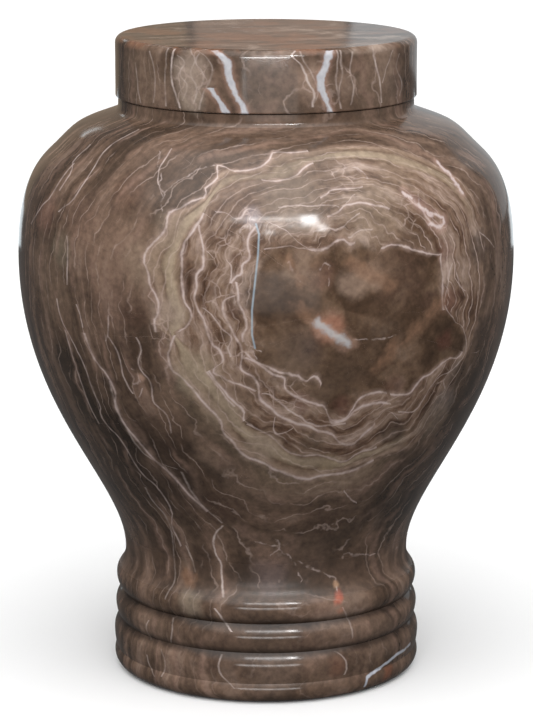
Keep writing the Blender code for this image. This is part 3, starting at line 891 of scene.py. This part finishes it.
def lay_drawn_veins(stone):
    """The veins and marks drawn one by one, each kind in its own width, strength and colour."""
    patchy = stone.rise(stone.noise(stone.place, 6.0, 3.0), 0.30, 0.62)
    clear_gap = stone.ring_gap(CLEAR_VEINS)
    stone.lay(stone.ridge(clear_gap, VEIN_BORDER) * patchy * 0.5, (176, 150, 138))
    stone.clear = stone.ridge(clear_gap, CLEAR_WIDTH)
    faint = stone.ridge(stone.ring_gap(FAINT_VEINS), FAINT_WIDTH) * 0.75
    faint = faint.over(stone.ridge(stone.stroke_gap(STROKES), FAINT_WIDTH) * 0.6)
    stone.lay(stone.clear.over(faint) * (0.3 + 0.6 * patchy), (204, 184, 177))
    stone.mark(stone.stroke_gap(RUST_STROKES), stone.ragged,
               torn=12.0, edge=4.5, core=0.0, share=0.5, tone=(146, 112, 90))
    flash = stone.rise(stone.stroke_gap([FOOT_FLASH], stone.close), 1.0, 0.3)
    stone.lay(flash * 0.8, (200, 202, 210))
    stone.lay(stone.ridge(stone.stroke_gap([CRACK], stone.place), CRACK_WIDTH) * 0.8, (166, 180, 190))
    upright = stone.ridge(stone.upright_gap(CLEAR_UPRIGHTS), CLEAR_WIDTH)
    upright = upright.over(stone.ridge(stone.upright_gap(FAINT_UPRIGHTS), UPRIGHT_WIDTH) * 0.5)
    stone.lay(upright * (0.3 + 0.6 * patchy), (206, 188, 180))
    cluster = stone.stroke_gap(BRIGHT_STROKES)
    stone.mark(cluster, stone.ragged, torn=5.0, edge=3.4, core=0.4, share=0.4, tone=(188, 154, 142))
    stone.mark(cluster, stone.grain, torn=3.0, edge=1.3, core=0.2, share=0.75, tone=(222, 204, 200))
    flame = stone.stroke_gap([FLAME])
    stone.mark(flame, stone.ragged, torn=14.0, edge=4.6, core=0.6, share=0.5, tone=(172, 138, 120))
    stone.mark(flame, stone.grain, torn=3.0, edge=2.6, core=0.4, share=0.75, tone=(192, 190, 190))
    bold = stone.mark(stone.upright_gap(BOLD_UPRIGHTS), stone.ragged,
                      torn=4.0, edge=4.2, core=1.0, share=0.5, tone=(174, 138, 122))
    stone.mark(bold, stone.grain, torn=2.4, edge=2.0, core=0.7, share=0.85, tone=(208, 208, 212))


def brown_marble(outline):
    """Polished brown marble in wavy beds round a dark reddish eye."""
    stone = Stone("polished brown marble", outline)
    lay_beds(stone)
    lay_fine_veins(stone)
    lay_drawn_veins(stone)
    # Rust and pale blotches on the lid's top
    top = stone.rise(stone.height, *LID_TOP)
    blotches = stone.noise(stone.place, 24.0, 4.0, 0.6)
    stone.lay(top * stone.rise(blotches, 0.50, 0.62) * 0.5, (140, 94, 68))
    stone.lay(top * stone.rise(blotches, 0.46, 0.34) * 0.6, (184, 164, 150))
    stone.lay(0.38, stone.ramp(stone.grain, (0.3, (40, 34, 30)), (0.7, (220, 210, 200))), "SOFT_LIGHT")
    stone.color = stone.mix(1.0, stone.color, COOLER, "MULTIPLY")
    # Painted shade: the colour is darkened in the two grooves of the foot, standing in for the shade that
    # falls there
    painted_groove_shade = stone.ridge(stone.height - LOW_GROOVE / UPRIGHT_HEIGHT, GROOVE_SHADE_REACH)
    painted_groove_shade = painted_groove_shade.over(stone.ridge(stone.height - TOP_GROOVE / UPRIGHT_HEIGHT, GROOVE_SHADE_REACH))
    stone.lay(painted_groove_shade * 0.72, (28, 21, 17))
    # The waist is too narrow to polish as brightly as the rest
    dull = stone.rise(stone.height, *DULL_FROM) * stone.rise(stone.height, *DULL_TO)
    pores = stone.node("Bump", {}, {"Strength": 0.03, "Distance": PORE_DEPTH,
                                    "Height": stone.noise(stone.place, PORE_SIZE, 2.0, 0.6)})
    roughness = POLISH + 0.05 * stone.ragged + 0.05 * stone.clear + 0.22 * dull
    shader = stone.node("BsdfPrincipled", {}, {
        "Base Color": stone.color, "Roughness": roughness, "Normal": pores, "IOR": STONE_IOR})
    stone.node("OutputMaterial", {}, {"Surface": shader})
    return stone.material


def soft_box(name, place, aim, width, height, radiance, spread=180.0, tint=WHITE, mirrored_only=True):
    """A rectangular light that faces a point, as bright all over. A small spread is a grid on it."""
    light = bpy.data.lights.new(name, "AREA")
    light.shape = "RECTANGLE"
    light.size = width
    light.size_y = height
    light.color = tint
    light.spread = radians(spread)
    half = radians(spread) / 2
    grid = (tan(half) - half) / tan(half) if spread < 180 else 1.0
    light.energy = radiance * 4 * width * height * grid
    box = bpy.data.objects.new(name, light)
    place = Vector(place)
    box.location = place
    box.rotation_euler = (Vector(aim) - place).to_track_quat("-Z", "Y").to_euler()
    box.visible_camera = False
    box.visible_diffuse = not mirrored_only
    bpy.context.scene.collection.objects.link(box)
    return box


def from_axis(turn, rise, reach, height=0.15):
    """A point seen from the urn's axis: turned from the front to the right, and raised, in degrees."""
    t, r = radians(turn), radians(rise)
    return (reach * cos(r) * sin(t), -reach * cos(r) * cos(t), height + reach * sin(r))


def room_light():
    """Soft light from above and in front. Polished stone mirrors a darker room."""
    world = bpy.data.worlds.new("room")
    bpy.context.scene.world = world
    world.use_nodes = True
    sky = Nodes(world.node_tree)
    facing = sky.vector("DOT_PRODUCT", sky.node("TexCoord"), LIGHT_FROM, "Value")
    lit = sky.rise(facing, 0.15, 0.95, top=2.75, bottom=0.06)
    mirrored = sky.rise(facing, 0.5, 0.98, top=2.0, bottom=0.12)
    glossy = sky.node("LightPath", output="Is Glossy Ray")
    both = sky.node("Mix", {"data_type": "FLOAT"}, {0: glossy, 2: lit, 3: mirrored})
    sky.node("OutputWorld", {}, {"Surface": sky.node("Background", {}, {"Strength": both})})


def front_lights(outline):
    """The fill, which only lights the stone, and the panels and lamps that its polish mirrors."""
    fill = soft_box("front fill", from_axis(0, 26, 1.6), (0, 0, 0.13), 0.9, 0.9, 2.35, mirrored_only=False)
    fill.visible_glossy = False
    soft_box("window glow", from_axis(12, 29, 1.3), (0, 0, 0.18), 0.55, 0.40, 0.7, tint=COOL)
    soft_box("front panel", from_axis(4, -7, 1.4), (0, 0, 0.15), 0.98, 0.34, 0.6, tint=(0.95, 0.98, 1.0))
    for name, place, mirrored_at, width, height, radiance, spread in (
            ("upper lamp right", from_axis(21, 30.6, 1.29), LAMP_RIGHT, 0.15, 0.23, 26.0, 20),
            ("upper lamp far right", from_axis(26, 23.5, 1.3), LAMP_FAR_RIGHT, 0.075, 0.10, 22.0, 16),
            ("upper lamp middle", from_axis(1.2, 21.5, 1.3), LAMP_MIDDLE, 0.085, 0.065, 12.0, 16)):
        soft_box(name, place, on_surface(*mirrored_at, outline), width, height, radiance, spread)
    # Rows of lamps side by side, as far apart as they are wide, that all face one place
    neck = on_surface(*NECK_SHINE, outline)
    for step in range(LAMPS_IN_ROW):
        for name, (x, y, z), aim, width, height, radiance, spread in (
                ("foot strip", (-0.116, -0.42, 0.03), (0.01, 0, 0.026), 0.068, 0.08, 6.0, 16),
                ("foot lamp", (-0.13, -0.60, 0.42), (0.01, -0.06, 0.03), 0.08, 0.22, 7.0, 14),
                ("low neck lamp", (-0.06, -0.60, 0.49), neck, 0.06, 0.08, 16.0, 6),
                ("high neck lamp", (-0.06, -0.60, 0.57), neck, 0.06, 0.08, 16.0, 6)):
            soft_box(f"{name} {step}", (x + width * step, y, z), aim, width, height, radiance, spread)


def lid_lights(lid):
    """A strip and a window frame that only the lid mirrors."""
    lid_alone = bpy.data.collections.new("lid alone")
    lid_alone.objects.link(lid)
    for lamp in (soft_box("lid strip", (0.0, -0.70, 0.31), (0.0, -0.06, 0.258), 0.42, 0.16, 15.0),
                 soft_box("lid frame", from_axis(-16, -5, 1.2), (0, 0, 0.25), 0.03, 0.18, 4.0)):
        lamp.light_linking.receiver_collection = lid_alone


def back_lights():
    """Cards behind the urn that its edges mirror."""
    soft_box("back card left", (-0.35, 1.0, 0.38), (-0.35, 0, 0.38), 0.58, 0.6, 0.13, tint=(1.0, 0.7, 0.4))
    soft_box("back card", (0.003, 1.0, 0.38), (0.003, 0, 0.38), 0.114, 0.6, 0.2, tint=(1.0, 0.7, 0.52))
    soft_box("back card right", (0.46, 1.0, 0.45), (0.3, 0, 0.40), 0.80, 0.7, 0.30, tint=(0.92, 0.97, 1.0))
    soft_box("back strip", (0.0, 1.0, 0.04), (0.0, 0, 0.04), 1.0, 0.08, 0.9, tint=COOL)
    soft_box("shoulder lamp", (-0.42, 0.95, 0.60), (-0.06, 0, 0.22), 0.24, 0.03, 2.2, spread=40, tint=COOL)


# The two pieces of the urn
body_low, body_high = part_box("body")
lid_low, lid_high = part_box("lid")
body_line = outer_outline(body_high[2])
lid_line = lid_outline(lid_low[2], lid_high[2], lid_high[0], lid_low[2] + PLUG_HEIGHT)
body = turned_piece("urn_body", body_line + inner_outline(body_high[2]), "body")
lid = turned_piece("urn_lid", lid_line, "lid")
marble = brown_marble(body_line + lid_line)
body.data.materials.append(marble)
lid.data.materials.append(marble)

# Floor
shape = bmesh.new()
bmesh.ops.create_grid(shape, x_segments=1, y_segments=1, size=GROUND_REACH)
mesh = bpy.data.meshes.new("floor")
shape.to_mesh(mesh)
shape.free()
floor = bpy.data.objects.new("floor", mesh)
floor.location.z = -GROUND_DROP
floor.visible_glossy = False
floor.visible_diffuse = False
bpy.context.scene.collection.objects.link(floor)
pale = Finish("pale floor")
pale_shader = pale.node("BsdfPrincipled", {}, {"Base Color": (0.9, 0.9, 0.9, 1.0), "Roughness": 0.9})
pale.node("OutputMaterial", {}, {"Surface": pale_shader})
floor.data.materials.append(pale.material)

room_light()
front_lights(body_line)
lid_lights(lid)
back_lights()

camera_data = bpy.data.cameras.new("camera")
camera_data.sensor_width = SENSOR
camera_data.lens = CAMERA_FOCAL / PHOTO_SIZE[1] * SENSOR
camera_data.shift_x, camera_data.shift_y = CAMERA_SHIFT
camera = bpy.data.objects.new("camera", camera_data)
camera.location = CAMERA_PLACE
camera.rotation_euler = (radians(90 - CAMERA_PITCH), 0, 0)
bpy.context.scene.collection.objects.link(camera)
bpy.context.scene.camera = camera
bpy.context.scene.view_settings.view_transform = "Standard"
